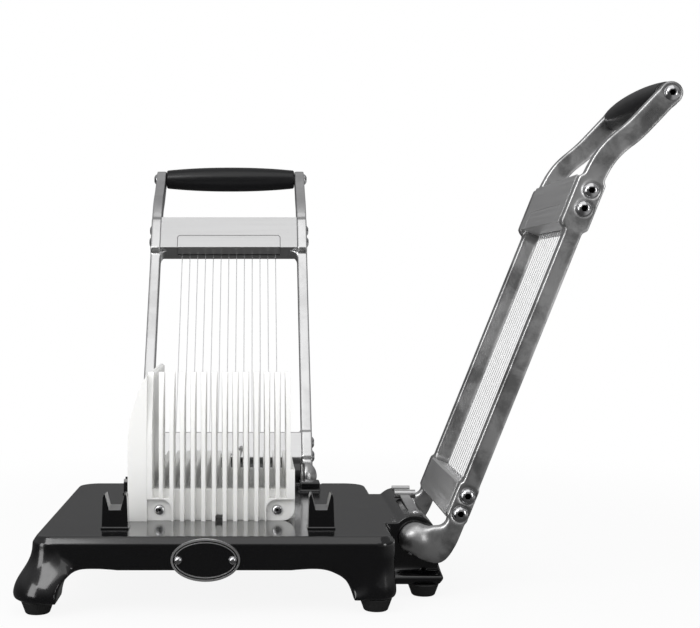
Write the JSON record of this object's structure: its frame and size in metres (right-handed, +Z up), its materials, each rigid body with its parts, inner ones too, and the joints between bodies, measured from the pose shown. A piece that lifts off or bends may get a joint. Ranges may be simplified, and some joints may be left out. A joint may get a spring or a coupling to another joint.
{
  "type": "two-harp wire cuber",
  "caption": "Countertop cuber for cheese and soft vegetables: a black cast base with a white slotted block and two hinged wire harps with barrel grips.",
  "frame": {"origin": "under the middle of the whole object's box, on the surface that the rubber feet stand on", "axes": "+Z up; +Y from the front with its badge to the rear harp; +X towards the side harp"},
  "size_m": [0.5886, 0.6436, 0.4612],
  "materials": {
    "black_paint": "gloss, mirror-like stoved paint on cast aluminium",
    "white_plastic": "satin white food-grade polyethylene",
    "polished_alloy": "polished cast aluminium with bright edges",
    "brushed_alloy": "brushed and bead-blasted aluminium bar",
    "stainless": "polished stainless steel",
    "wire_steel": "drawn stainless wire",
    "spring_steel": "satin stainless spring strip",
    "badge_metal": "satin nickel rims round a black field",
    "rubber": "matt black rubber",
    "grip_black": "satin black moulded plastic",
    "bush_plastic": "natural acetal"
  },
  "bodies": {
    "base": {"base_casting": "black_paint", "side_hinge_wing": "black_paint", "rear_hinge_wing": "black_paint", "low_lug": "black_paint", "tall_rests": "black_paint", "low_rests": "black_paint", "rest_screws": "stainless", "rubber_feet": "rubber", "foot_screws": "stainless", "badge_plate": "badge_metal", "badge_rivets": "badge_metal", "grid_block": "white_plastic", "front_fence": "white_plastic", "side_fence": "white_plastic", "front_fence_screws": "stainless", "side_fence_screws": "stainless", "block_screws": "stainless", "rear_hinge_bushes": "bush_plastic", "rear_catch_spring": "spring_steel", "rear_catch_screw": "stainless", "side_hinge_bushes": "bush_plastic", "side_catch_spring": "spring_steel", "side_catch_screw": "stainless"},
    "rear_harp": {"rear_left_arm": "polished_alloy", "rear_right_arm": "polished_alloy", "rear_upper_crossbar": "brushed_alloy", "rear_lower_crossbar": "brushed_alloy", "rear_wire_cover": "brushed_alloy", "rear_cover_screws": "stainless", "rear_wires": "wire_steel", "rear_tension_screws": "stainless", "rear_wire_anchors": "stainless", "rear_crossbar_screws": "stainless", "rear_grip": "grip_black", "rear_grip_rod": "stainless", "rear_grip_screws": "stainless", "rear_hinge_shaft": "stainless", "rear_hub_screws": "stainless"},
    "side_harp": {"side_front_arm": "polished_alloy", "side_back_arm": "polished_alloy", "side_upper_crossbar": "brushed_alloy", "side_lower_crossbar": "brushed_alloy", "side_wire_cover": "brushed_alloy", "side_cover_screws": "stainless", "side_wires": "wire_steel", "side_tension_screws": "stainless", "side_wire_anchors": "stainless", "side_crossbar_screws": "stainless", "side_grip": "grip_black", "side_grip_rod": "stainless", "side_grip_screws": "stainless", "side_hinge_shaft": "stainless", "side_hub_screws": "stainless"}
  },
  "joints": [
    {"name": "rear_hinge", "type": "hinge", "parent": "base", "child": "rear_harp", "pos_m": [-0.12033, 0.01019, 0.071], "axis": [1, 0, 0], "range_deg": [0, 123]},
    {"name": "side_hinge", "type": "hinge", "parent": "base", "child": "side_harp", "pos_m": [0.05387, -0.15441, 0.051], "axis": [0, -1, 0], "range_deg": [0, 111.5]}
  ]
}
